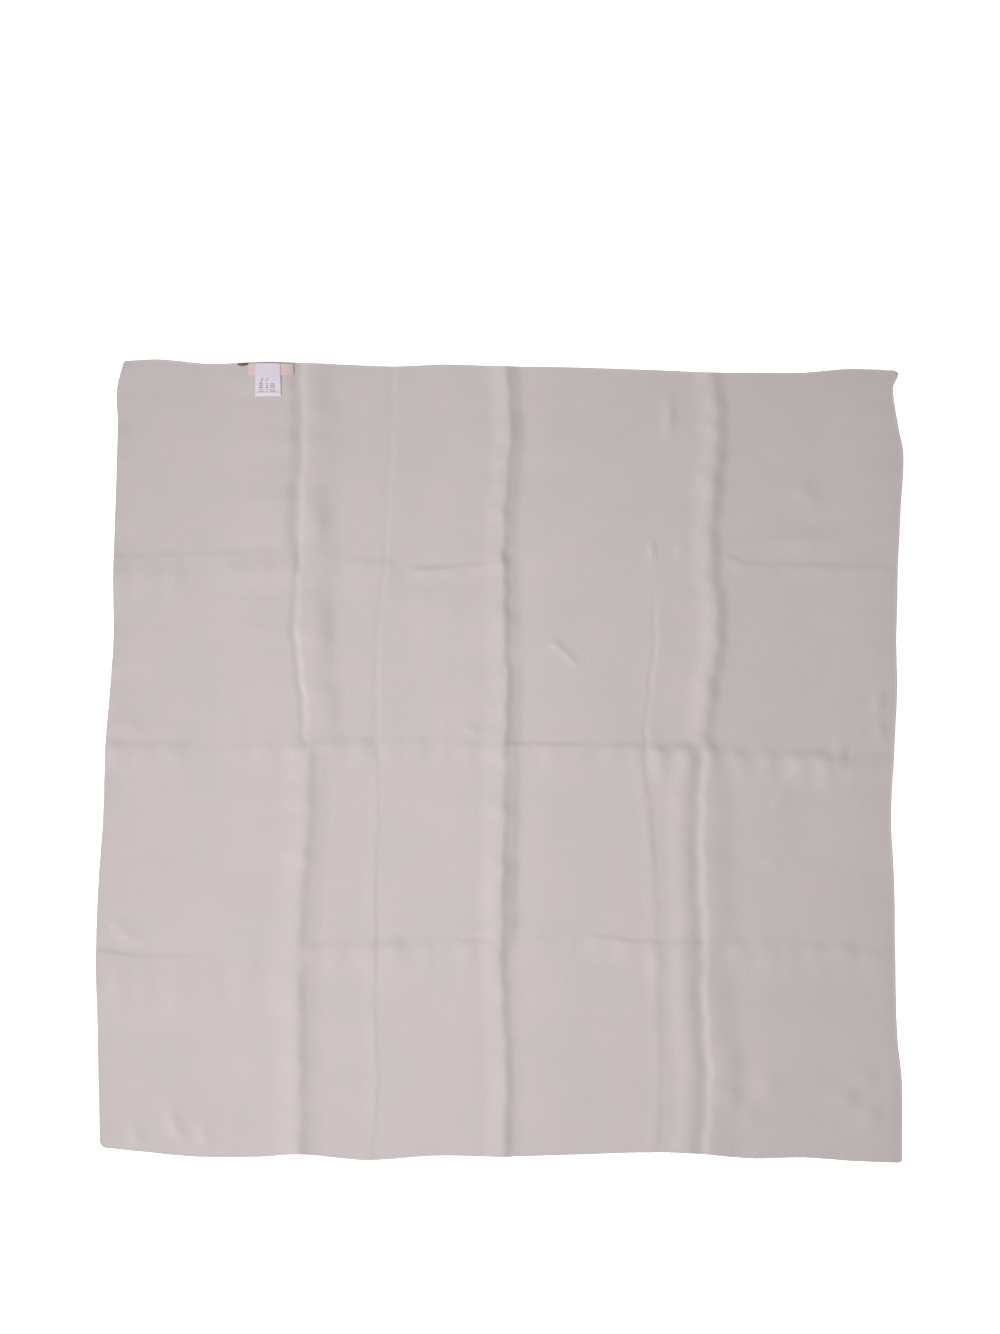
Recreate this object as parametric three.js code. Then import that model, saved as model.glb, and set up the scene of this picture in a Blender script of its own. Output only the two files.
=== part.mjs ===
// Silk square scarf, opened out flat on a table after lying folded in four both ways.
// Millimetres. +X runs across the cloth, +Y up towards the labelled edge, +Z up off the table.
// The origin lies on the table, under the middle of the cloth.

import * as THREE from 'three';

// The cut: one square of silk, measured from hem to hem.
const CUT = 900;
const QUARTER = CUT / 4;

// Walls, seams and hems.
const CLOTH_WALL = 1.2;
const LABEL_WALL = 1;
const SEAM_GAP = 0.3;
const HEM = { width: 2.4, height: 2.2, sides: 8 };
const PANEL_INSET = HEM.width + SEAM_GAP;

// Labels at the top edge, placed on the cut: across from the left edge, down from the top edge.
const TAPE = { left: 161, right: 218, top: PANEL_INSET, bottom: 15.5 };
const CARE = { left: 170, right: 203, top: PANEL_INSET, bottom: 42, rampStart: 16.3, rampEnd: 23 };

// Press folds and soft creases, by their place on the cut.
const ACROSS_KNOTS = [0, QUARTER, 315, 2 * QUARTER, 615, 3 * QUARTER, CUT];
const UP_KNOTS = [0, QUARTER, 2 * QUARTER, 3 * QUARTER, CUT];
const UPRIGHT_LINES = ['left', 'fold1', 'soft1', 'fold2', 'soft2', 'fold3', 'right'];
const LEVEL_LINES = ['bottom', 'lower', 'middle', 'upper', 'top'];

// Where the upright lines lie, section by section up the cloth. Each row is one height.
const SECTIONS_UP = [
  { at: -455, left: -455, fold1: -229, soft1: -149, fold2: 5, soft2: 178, fold3: 231, right: 459 },
  { at: -369, left: -457, fold1: -230, soft1: -142, fold2: 8, soft2: 182, fold3: 235, right: 459 },
  { at: -318, left: -458, fold1: -229, soft1: -141, fold2: 6, soft2: 182, fold3: 234, right: 454 },
  { at: -215, left: -460, fold1: -226, soft1: -145, fold2: 2, soft2: 180, fold3: 230, right: 451 },
  { at: -136, left: -457, fold1: -223, soft1: -143, fold2: 3, soft2: 175, fold3: 228, right: 450 },
  { at: -67, left: -452, fold1: -220, soft1: -142, fold2: 5, soft2: 170, fold3: 227, right: 446 },
  { at: 18, left: -449, fold1: -222, soft1: -141, fold2: 6, soft2: 163, fold3: 233, right: 450 },
  { at: 81, left: -444, fold1: -227, soft1: -141, fold2: 9, soft2: 168, fold3: 239, right: 453 },
  { at: 138, left: -440, fold1: -232, soft1: -140, fold2: 6, soft2: 174, fold3: 245, right: 452 },
  { at: 224, left: -440, fold1: -231, soft1: -132, fold2: 5, soft2: 172, fold3: 242, right: 454 },
  { at: 286, left: -438, fold1: -231, soft1: -130, fold2: 6, soft2: 172, fold3: 241, right: 457 },
  { at: 349, left: -436, fold1: -227, soft1: -122, fold2: 10, soft2: 172, fold3: 246, right: 460 },
  { at: 383, left: -435, fold1: -226, soft1: -122, fold2: 11, soft2: 172, fold3: 248, right: 454 },
  { at: 423, left: -436, fold1: -227, soft1: -122, fold2: 9, soft2: 172, fold3: 247, right: 448 },
  { at: 456, left: -428, fold1: -229, soft1: -121, fold2: 7, soft2: 172, fold3: 244, right: 449 },
];

// Where the level lines lie, section by section across the cut. Each row is one place across.
const SECTIONS_ACROSS = [
  { at: 0, bottom: -440, lower: -213, middle: 24, upper: 230, top: 456 },
  { at: 45, bottom: -445, lower: -220, middle: 23, upper: 230, top: 458 },
  { at: 110, bottom: -451, lower: -221, middle: 22, upper: 232, top: 454 },
  { at: 180, bottom: -451, lower: -215, middle: 21, upper: 234, top: 457 },
  { at: 225, bottom: -448, lower: -207, middle: 20, upper: 235, top: 455 },
  { at: 270, bottom: -452, lower: -204, middle: 24, upper: 231, top: 452 },
  { at: 315, bottom: -455, lower: -202, middle: 24, upper: 223, top: 450 },
  { at: 380, bottom: -450, lower: -198, middle: 25, upper: 226, top: 452 },
  { at: 450, bottom: -451, lower: -209, middle: 21, upper: 234, top: 450 },
  { at: 520, bottom: -449, lower: -204, middle: 20, upper: 237, top: 449 },
  { at: 615, bottom: -446, lower: -204, middle: 20, upper: 240, top: 446 },
  { at: 675, bottom: -448, lower: -204, middle: 15, upper: 236, top: 443 },
  { at: 730, bottom: -453, lower: -205, middle: 11, upper: 223, top: 443 },
  { at: 790, bottom: -452, lower: -211, middle: 12, upper: 221, top: 443 },
  { at: 845, bottom: -456, lower: -218, middle: 7, upper: 223, top: 447 },
  { at: 900, bottom: -458, lower: -222, middle: 8, upper: 219, top: 445 },
];

// Corners are turned in by these radii, and the top right one curls out into a small ear.
const CORNER_RADIUS = { bottomLeft: 7, bottomRight: 5, topLeft: 1.5, topRight: 4 };
const EAR = { at: 440, out: 6, spread: 9, depth: 60 };

// Relief left by the folds. A ridge has its crest on the line. A valley has the line at its foot and a
// shoulder on each side. From and to run along the line, and END lies past the edge of the cloth.
// Rise is the height, reach how far it spreads and curve how hollow its flank is. Each is a pair: first
// for the left or lower side, then for the right or upper side.
const END = 520;
const FADE = 28;
const FOLDS = [
  { line: 'fold1', form: 'ridge', from: -END, to: 18, rise: [3.6, 3.6], reach: [70, 24], curve: [2, 1.4] },
  { line: 'fold1', form: 'valley', from: 18, to: END, rise: [1.1, 1.7], reach: [90, 70], curve: [4, 2] },
  { line: 'soft1', form: 'ridge', from: -END, to: 18, rise: [0.5, 0.5], reach: [30, 11], curve: [1.5, 1.2] },
  { line: 'soft1', form: 'ridge', from: 18, to: END, rise: [0.35, 0.35], reach: [25, 9], curve: [1.5, 1.2] },
  { line: 'fold2', form: 'ridge', from: -END, to: -205, rise: [2.2, 2.2], reach: [50, 15], curve: [3, 1.3] },
  { line: 'fold2', form: 'ridge', from: -205, to: 20, rise: [3.6, 3.6], reach: [64, 23], curve: [2.5, 1.1] },
  { line: 'fold2', form: 'ridge', from: 20, to: 245, rise: [3.2, 3.2], reach: [60, 20], curve: [3, 1.2] },
  { line: 'fold2', form: 'ridge', from: 245, to: END, rise: [3.2, 3.2], reach: [64, 19], curve: [3, 1] },
  { line: 'soft2', form: 'valley', from: -END, to: 150, rise: [0.35, 0.45], reach: [45, 60], curve: [4, 2] },
  { line: 'fold3', form: 'valley', from: -END, to: 15, rise: [1, 1.9], reach: [60, 60], curve: [3, 3] },
  { line: 'fold3', form: 'ridge', from: 15, to: 235, rise: [3.2, 3.2], reach: [44, 23], curve: [2, 1.3] },
  { line: 'fold3', form: 'ridge', from: 235, to: END, rise: [3.4, 3.4], reach: [46, 23], curve: [2, 1.2] },
  { line: 'lower', form: 'valley', from: -END, to: -300, rise: [0.35, 0.2], reach: [35, 40], curve: [3, 3] },
  { line: 'lower', form: 'ridge', from: -229, to: 2, rise: [0.7, 0.7], reach: [20, 20], curve: [1.5, 1.5] },
  { line: 'lower', form: 'ridge', from: 100, to: 215, rise: [0.35, 0.35], reach: [12, 6], curve: [1, 1] },
  { line: 'lower', form: 'ridge', from: 240, to: END, rise: [0.4, 0.4], reach: [15, 9], curve: [1.3, 1] },
  { line: 'middle', form: 'ridge', from: -END, to: -222, rise: [0.35, 0.35], reach: [30, 12], curve: [1.5, 1] },
  { line: 'middle', form: 'ridge', from: -222, to: 5, rise: [0.6, 0.6], reach: [25, 10], curve: [1.5, 1.2] },
  { line: 'middle', form: 'ridge', from: 5, to: 175, rise: [0.5, 0.5], reach: [15, 7], curve: [1.3, 1] },
  { line: 'middle', form: 'ridge', from: 175, to: 225, rise: [0.9, 0.9], reach: [14, 9], curve: [1.3, 1] },
  { line: 'middle', form: 'ridge', from: 240, to: END, rise: [1.1, 1.1], reach: [30, 12], curve: [2, 1.2] },
  { line: 'upper', form: 'ridge', from: -END, to: -229, rise: [0.9, 0.9], reach: [40, 15], curve: [2, 1.3] },
  { line: 'upper', form: 'valley', from: -135, to: 5, rise: [0.5, 0.4], reach: [60, 60], curve: [3, 3] },
  { line: 'upper', form: 'ridge', from: 245, to: END, rise: [0.35, 0.35], reach: [12, 8], curve: [1.3, 1] },
];

// Grid lines stand close together beside a crease and further apart on the open cloth.
const FOLD_STEPS = [-32, -18, -8, 8, 18, 32];
const SOFT_STEPS = [-24, -9, 9, 24];
const CORNER_STEP = 8;
const WIDEST_STEP = 46;
const NARROWEST_STEP = 4;

// Finishes.
const SILK = new THREE.MeshStandardMaterial({ color: 0xc3bab9, roughness: 0.55, metalness: 0 });
const HEM_SILK = new THREE.MeshStandardMaterial({ color: 0xbcb3b2, roughness: 0.6, metalness: 0 });
const WOVEN_TAPE = new THREE.MeshStandardMaterial({ color: 0xd2bfb8, roughness: 0.7, metalness: 0 });
const LABEL_SATIN = new THREE.MeshStandardMaterial({ color: 0xd4ccd6, roughness: 0.5, metalness: 0 });

// A smooth curve through one column of a table, read at any place between its rows.
function readColumn(table, column, place) {
  const last = table.length - 1;
  const slopeAt = (i) => {
    const before = table[Math.max(i - 1, 0)];
    const after = table[Math.min(i + 1, last)];
    return (after[column] - before[column]) / (after.at - before.at);
  };
  if (place <= table[0].at) return table[0][column] + slopeAt(0) * (place - table[0].at);
  if (place >= table[last].at) return table[last][column] + slopeAt(last) * (place - table[last].at);
  const i = table.findIndex((row) => row.at > place) - 1;
  const step = table[i + 1].at - table[i].at;
  const t = (place - table[i].at) / step;
  const rise = t * t * (3 - 2 * t);
  const lead = t * (1 - t) * (1 - t);
  const trail = t * t * (t - 1);
  return THREE.MathUtils.lerp(table[i][column], table[i + 1][column], rise)
    + step * (lead * slopeAt(i) + trail * slopeAt(i + 1));
}

// Even steps between the two lines that a place on the cut falls between.
function betweenLines(place, knots, values) {
  const inner = knots.slice(1, -1);
  const i = inner.filter((knot) => knot <= place).length;
  const t = (place - knots[i]) / (knots[i + 1] - knots[i]);
  return THREE.MathUtils.lerp(values[i], values[i + 1], t);
}

// Turns a square corner of the cut into a round one.
function roundCorner(across, up) {
  const fromLeft = across < CUT / 2;
  const fromBottom = up < CUT / 2;
  const name = (fromBottom ? 'bottom' : 'top') + (fromLeft ? 'Left' : 'Right');
  const radius = CORNER_RADIUS[name];
  const s = 1 - (fromLeft ? across : CUT - across) / radius;
  const t = 1 - (fromBottom ? up : CUT - up) / radius;
  if (s <= 0 || t <= 0) return [across, up];
  const insetAcross = radius * (1 - s * Math.sqrt(1 - t * t / 2));
  const insetUp = radius * (1 - t * Math.sqrt(1 - s * s / 2));
  return [fromLeft ? insetAcross : CUT - insetAcross, fromBottom ? insetUp : CUT - insetUp];
}

// Where a place on the cut lies on the table.
function planPoint(across, up) {
  const [a, b] = roundCorner(across, up);
  const levels = LEVEL_LINES.map((line) => readColumn(SECTIONS_ACROSS, line, a));
  const y = betweenLines(b, UP_KNOTS, levels);
  const uprights = UPRIGHT_LINES.map((line) => readColumn(SECTIONS_UP, line, y));
  const nearEar = Math.max(0, 1 - (CUT - a) / EAR.depth);
  const ear = EAR.out * nearEar * nearEar * Math.exp(-(((y - EAR.at) / EAR.spread) ** 2));
  return [betweenLines(a, ACROSS_KNOTS, uprights) + ear, y];
}

function ridgeHeight(distance, rise, reach, curve) {
  return rise * Math.max(0, 1 - distance / reach) ** curve;
}

function valleyHeight(distance, rise, reach, curve) {
  const s = Math.min(distance / reach, 1);
  const shoulder = 1 / (1 + curve);
  return rise * (s * (1 - s) ** curve) / (shoulder * (1 - shoulder) ** curve);
}

// How far a fold's relief has come in, at a place along its line.
function foldShare(along, { from, to }) {
  const start = THREE.MathUtils.smoothstep(along, from - FADE / 2, from + FADE / 2);
  const end = 1 - THREE.MathUtils.smoothstep(along, to - FADE / 2, to + FADE / 2);
  return start * end;
}

// Height of the cloth's underside above the table, at a place on the cut.
function liftAt(across, up) {
  const [x, y] = planPoint(across, up);
  let lift = 0;
  for (const fold of FOLDS) {
    const upright = UPRIGHT_LINES.includes(fold.line);
    const away = upright
      ? x - readColumn(SECTIONS_UP, fold.line, y)
      : y - readColumn(SECTIONS_ACROSS, fold.line, across);
    const side = away < 0 ? 0 : 1;
    const height = fold.form === 'ridge' ? ridgeHeight : valleyHeight;
    const relief = height(Math.abs(away), fold.rise[side], fold.reach[side], fold.curve[side]);
    lift += foldShare(upright ? y : x, fold) * relief;
  }
  return lift;
}

// A point of the cloth, raised off its underside.
function clothPoint(across, up, raised = 0) {
  const [x, y] = planPoint(across, up);
  return new THREE.Vector3(x, y, liftAt(across, up) + raised);
}

// Grid lines in one direction: the edges, the creases with their flanks, the labels' edges, and more
// wherever the open cloth leaves too wide a step.
function gridLines(creases, labelEdges) {
  const lines = [PANEL_INSET, CUT - PANEL_INSET, ...labelEdges, ...creases.map(({ at }) => at)];
  const flanks = creases.flatMap(({ at, steps }) => steps.map((step) => at + step));
  for (const place of [CORNER_STEP, CUT - CORNER_STEP, ...flanks]) {
    if (lines.every((line) => Math.abs(line - place) >= NARROWEST_STEP)) lines.push(place);
  }
  lines.sort((a, b) => a - b);
  const filled = [lines[0]];
  for (const place of lines.slice(1)) {
    const start = filled[filled.length - 1];
    const parts = Math.ceil((place - start) / WIDEST_STEP);
    for (let k = 1; k <= parts; k += 1) filled.push(start + (place - start) * k / parts);
  }
  return filled;
}

const ACROSS_LINES = gridLines(
  [
    { at: QUARTER, steps: FOLD_STEPS },
    { at: 315, steps: SOFT_STEPS },
    { at: 2 * QUARTER, steps: FOLD_STEPS },
    { at: 615, steps: SOFT_STEPS },
    { at: 3 * QUARTER, steps: FOLD_STEPS },
  ],
  [TAPE.left, CARE.left, CARE.right, TAPE.right],
);
const UP_LINES = gridLines(
  [QUARTER, 2 * QUARTER, 3 * QUARTER].map((at) => ({ at, steps: FOLD_STEPS })),
  [CUT - CARE.bottom, CUT - CARE.rampEnd, CUT - TAPE.bottom],
);

// A closed body between an under and an upper grid of points.
function wallBetween(under, upper) {
  const columns = under.length;
  const rows = under[0].length;
  const points = [...under.flat(), ...upper.flat()];
  const layer = columns * rows;
  const id = (i, j, side) => side * layer + i * rows + j;
  const triangles = [];
  const quad = (a, b, c, d) => triangles.push(a, b, c, a, c, d);
  for (let i = 0; i < columns - 1; i += 1) {
    for (let j = 0; j < rows - 1; j += 1) {
      quad(id(i, j, 1), id(i + 1, j, 1), id(i + 1, j + 1, 1), id(i, j + 1, 1));
      quad(id(i, j, 0), id(i, j + 1, 0), id(i + 1, j + 1, 0), id(i + 1, j, 0));
    }
  }
  for (let i = 0; i < columns - 1; i += 1) {
    quad(id(i, 0, 0), id(i + 1, 0, 0), id(i + 1, 0, 1), id(i, 0, 1));
    quad(id(i + 1, rows - 1, 0), id(i, rows - 1, 0), id(i, rows - 1, 1), id(i + 1, rows - 1, 1));
  }
  for (let j = 0; j < rows - 1; j += 1) {
    quad(id(0, j + 1, 0), id(0, j, 0), id(0, j, 1), id(0, j + 1, 1));
    quad(id(columns - 1, j, 0), id(columns - 1, j + 1, 0), id(columns - 1, j + 1, 1), id(columns - 1, j, 1));
  }
  return bodyFrom(points, triangles);
}

// A closed body through rings of points, with both ends capped.
function bodyThroughRings(rings) {
  const sides = rings[0].length;
  const triangles = [];
  for (let i = 0; i < rings.length - 1; i += 1) {
    for (let k = 0; k < sides; k += 1) {
      const next = (k + 1) % sides;
      const [a, b] = [i * sides + k, i * sides + next];
      triangles.push(a, b, b + sides, a, b + sides, a + sides);
    }
  }
  const end = (rings.length - 1) * sides;
  for (let k = 1; k < sides - 1; k += 1) {
    triangles.push(0, k + 1, k);
    triangles.push(end, end + k, end + k + 1);
  }
  return bodyFrom(rings.flat(), triangles);
}

function bodyFrom(points, triangles) {
  const geometry = new THREE.BufferGeometry().setFromPoints(points);
  geometry.setIndex(triangles);
  geometry.computeVertexNormals();
  return geometry;
}

function within(lines, low, high) {
  return [low, ...lines.filter((place) => place > low && place < high), high];
}

// The square itself, hem to hem less the hems.
function silkPanel() {
  const grid = (raised) => ACROSS_LINES.map((a) => UP_LINES.map((b) => clothPoint(a, b, raised)));
  return wallBetween(grid(0), grid(CLOTH_WALL));
}

// A rolled hem: an eight-sided roll that lies on the table along one edge. The place function turns
// a distance along the edge and a distance in from it into a place on the cut.
function rolledHem(stations, place, turns) {
  const flatTurn = Math.PI / HEM.sides;
  const rings = stations.map((along) => {
    const ring = [];
    for (let k = 0; k < HEM.sides; k += 1) {
      const angle = turns * (flatTurn + k * 2 * flatTurn);
      const inward = HEM.width * (0.5 + 0.5 * Math.cos(angle) / Math.cos(flatTurn));
      const raised = HEM.height * (0.5 + 0.5 * Math.sin(angle) / Math.cos(flatTurn));
      ring.push(clothPoint(...place(along, inward), raised));
    }
    return ring;
  });
  return bodyThroughRings(rings);
}

// The tape lies on the panel. The care label lies over it, and past its lower edge comes down to the panel.
function tapeHeight() {
  return CLOTH_WALL + SEAM_GAP;
}

function careHeight(up) {
  const onTape = tapeHeight() + LABEL_WALL + SEAM_GAP;
  const pastTape = (CUT - up - CARE.rampStart) / (CARE.rampEnd - CARE.rampStart);
  return THREE.MathUtils.lerp(onTape, tapeHeight(), THREE.MathUtils.clamp(pastTape, 0, 1));
}

// A label, made from the panel's points and moved out.
function label({ left, right, top, bottom }, height, breaks = []) {
  const across = within(ACROSS_LINES, left, right);
  const lines = [...UP_LINES, ...breaks].sort((a, b) => a - b);
  const up = within(lines, CUT - bottom, CUT - top);
  const grid = (raised) => across.map((a) => up.map((b) => clothPoint(a, b, height(b) + raised)));
  return wallBetween(grid(0), grid(LABEL_WALL));
}

function named(name, geometry, material) {
  const mesh = new THREE.Mesh(geometry, material);
  mesh.name = name;
  return mesh;
}

// The bottom and top hems run the whole width, and the side hems stand between them.
function hemMeshes() {
  const fullWidth = [0, ...ACROSS_LINES, CUT];
  return [
    named('hem_bottom', rolledHem(fullWidth, (along, inward) => [along, inward], 1), HEM_SILK),
    named('hem_top', rolledHem(fullWidth, (along, inward) => [along, CUT - inward], -1), HEM_SILK),
    named('hem_left', rolledHem(UP_LINES, (along, inward) => [inward, along], -1), HEM_SILK),
    named('hem_right', rolledHem(UP_LINES, (along, inward) => [CUT - inward, along], 1), HEM_SILK),
  ];
}

// The finished scarf, centred over the origin.
const scarf = new THREE.Group();
scarf.add(
  named('silk_panel', silkPanel(), SILK),
  ...hemMeshes(),
  named('label_tape', label(TAPE, tapeHeight), WOVEN_TAPE),
  named('care_label', label(CARE, careHeight, [CUT - CARE.rampStart]), LABEL_SATIN),
);
const middle = new THREE.Box3().setFromObject(scarf).getCenter(new THREE.Vector3());
scarf.position.set(-middle.x, -middle.y, 0);

export default scarf;
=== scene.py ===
"""Silk square scarf, opened out flat on a pale table after lying folded in four both ways.

The tables are in millimetres, and the meshes in metres. +X runs across the cloth, +Y up towards the
labelled edge and +Z up off the table.
"""

import logging
import math
from dataclasses import dataclass
from enum import Enum

import bpy
import numpy as np
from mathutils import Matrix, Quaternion, Vector


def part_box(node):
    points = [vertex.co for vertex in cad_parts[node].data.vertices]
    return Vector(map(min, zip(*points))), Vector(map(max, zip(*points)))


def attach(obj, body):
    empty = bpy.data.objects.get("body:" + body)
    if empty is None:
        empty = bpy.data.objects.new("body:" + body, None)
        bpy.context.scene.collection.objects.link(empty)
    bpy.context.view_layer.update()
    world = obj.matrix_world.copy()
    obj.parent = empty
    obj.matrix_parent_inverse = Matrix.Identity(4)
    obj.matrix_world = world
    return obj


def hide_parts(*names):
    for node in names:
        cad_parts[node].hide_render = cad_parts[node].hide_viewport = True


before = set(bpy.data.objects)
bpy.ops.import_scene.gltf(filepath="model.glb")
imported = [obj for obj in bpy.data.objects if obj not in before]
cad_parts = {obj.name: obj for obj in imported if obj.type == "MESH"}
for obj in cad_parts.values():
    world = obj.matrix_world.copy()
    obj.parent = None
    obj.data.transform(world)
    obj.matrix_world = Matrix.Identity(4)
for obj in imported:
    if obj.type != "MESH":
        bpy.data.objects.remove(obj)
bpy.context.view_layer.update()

MM = 0.001
BODY = "root"
Pair = tuple[float, float]
Place = tuple[float, float, float]
Material = bpy.types.Material
Piece = bpy.types.Object
Tree = bpy.types.NodeTree
Socket = bpy.types.NodeSocket

# The cut: one square of silk, measured from hem to hem.
CUT = 900
QUARTER = CUT / 4
SOFT_LEFT = 315
SOFT_RIGHT = 615

# The hem is rolled by hand and pressed flat, and the sheet of the panel runs in under the roll.
HEM_WIDTH = 2.8
HEM_HEIGHT = 0.4
STITCH_SPACING = 8.4
PANEL_INSET = 1.2
CAD_INSET = 2.7
SILK_THICKNESS = 0.25


def rows(kind: type, *values: tuple) -> tuple:
    """Make a table: one row of the given kind from each tuple of its values."""
    return tuple(kind(*value) for value in values)


class Direction(Enum):
    """The two ways that a line of folds runs over the cloth."""

    UPRIGHT = "up the cloth"
    LEVEL = "across the cloth"


@dataclass(frozen=True)
class SectionUp:
    """Where the upright lines lie at one height up the table, in millimetres."""

    at: float
    left: float
    fold1: float
    soft1: float
    fold2: float
    soft2: float
    fold3: float
    right: float


@dataclass(frozen=True)
class SectionAcross:
    """Where the level lines lie at one place across the cut, in millimetres."""

    at: float
    bottom: float
    lower: float
    middle: float
    upper: float
    top: float


@dataclass(frozen=True)
class Wave:
    """One fixed wave of unevenness: its size, its length over two pi, and its share of the phase."""

    size: float
    length: float
    shift: float = 0


def add_waves(along: np.ndarray, waves: tuple[Wave, ...], phase: float = 0) -> np.ndarray:
    """Add up the waves at places along a line."""
    return sum(wave.size * np.sin(along / wave.length + wave.shift * phase) for wave in waves)


# Columns: size, length and shift. Each line of folds starts its waves at another phase.
LINE_STRAYS = (Wave(0.6, 9.1, 1), Wave(0.6, 4.7, 2))
HEIGHT_CHANGES = (Wave(0.4, 31, 1), Wave(0.4, 12.5, 2), Wave(0.3, 5.3, 3))
LEAST_HEIGHT = 0.05
PHASE_ALONG = 31
PHASE_ACROSS = 70
LEVEL_PHASE = 50
ROLL_IS_PLUMP = (Wave(0.04, 13.7), Wave(0.03, 5.3))
STITCH_DRIFTS = (Wave(0.5, 3.1), Wave(0.4, 7.7))
STITCH_DEPTHS = (Wave(0.15, 4.3),)

# A short crease falls off to its sides by this power, and this share of its height is left at its ends.
CRINKLE_FALL = 1.4
CRINKLE_ENDS = 0.25

# Columns: at, left, fold1, soft1, fold2, soft2, fold3, right.
SECTIONS_UP = rows(
    SectionUp,
    (-455, -455, -230, -147, 5, 178, 231, 459),
    (-369, -457, -230, -139, 8, 183, 237, 459),
    (-318, -458, -231, -141, 6, 182, 234, 454),
    (-270, -459, -231, -143, 3, 181, 231, 452),
    (-215, -460, -231, -142, 2, 180, 232, 451),
    (-136, -457, -227, -142, 3, 177, 228, 450),
    (-67, -452, -221, -139, 5, 172, 227, 446),
    (18, -449, -222, -140, 6, 163, 232, 450),
    (81, -444, -226, -141, 9, 168, 238, 453),
    (138, -440, -233, -140, 6, 174, 247, 452),
    (180, -440, -233, -136, 6, 173, 246, 453),
    (224, -440, -229, -132, 4, 172, 240, 454),
    (286, -438, -230, -129, 4, 172, 241, 457),
    (349, -436, -226, -124, 9, 172, 246, 460),
    (383, -435, -226, -123, 11, 172, 248, 454),
    (423, -436, -227, -123, 8, 172, 244, 448),
    (456, -428, -229, -122, 5, 172, 240, 449),
)

# Columns: at, bottom, lower, middle, upper, top.
SECTIONS_ACROSS = rows(
    SectionAcross,
    (0, -440, -216, 19, 232, 456),
    (45, -445, -223, 18, 232, 458),
    (110, -451, -223, 16, 233, 453),
    (180, -451, -217, 16, 234, 455),
    (225, -448, -210, 16, 234, 454),
    (270, -452, -210, 21, 231, 452),
    (315, -455, -208, 21, 221, 450),
    (380, -450, -206, 22, 219, 452),
    (450, -451, -208, 18, 226, 450),
    (520, -449, -200, 17, 235, 449),
    (615, -446, -208, 16, 240, 446),
    (675, -448, -208, 16, 236, 443),
    (730, -453, -210, 12, 222, 443),
    (790, -452, -213, 11, 221, 443),
    (845, -456, -221, 5, 220, 447),
    (900, -458, -224, 5, 216, 445),
)

UPRIGHT_KNOTS = {
    "left": 0,
    "fold1": QUARTER,
    "soft1": SOFT_LEFT,
    "fold2": 2 * QUARTER,
    "soft2": SOFT_RIGHT,
    "fold3": 3 * QUARTER,
    "right": CUT,
}
LEVEL_KNOTS = {"bottom": 0, "lower": QUARTER, "middle": 2 * QUARTER, "upper": 3 * QUARTER, "top": CUT}


@dataclass(frozen=True)
class Flank:
    """One soft slope beside a fold's line, in millimetres.

    Start and end are distances from the line, to the right or up where positive. Lean moves the steepest
    place towards the end, or towards the start where it is negative.
    """

    start: float
    end: float
    rise: float
    lean: float = 0


@dataclass(frozen=True)
class Fold:
    """Relief that a fold leaves along its line, in millimetres.

    Start and end run along the line, and END lies past the edge of the cloth. Each of the flanks holds
    the values of a Flank, and their rises add up to nothing. Wander is how far the line strays from its
    even run, and uneven is the share by which its height changes along it. Fade is the length over
    which it comes in and runs out.
    """

    line: str
    start: float
    end: float
    flanks: tuple[tuple[float, ...], ...]
    wander: float = 1.0
    uneven: float = 0.15
    fade: float = 28


END = 520

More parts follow.
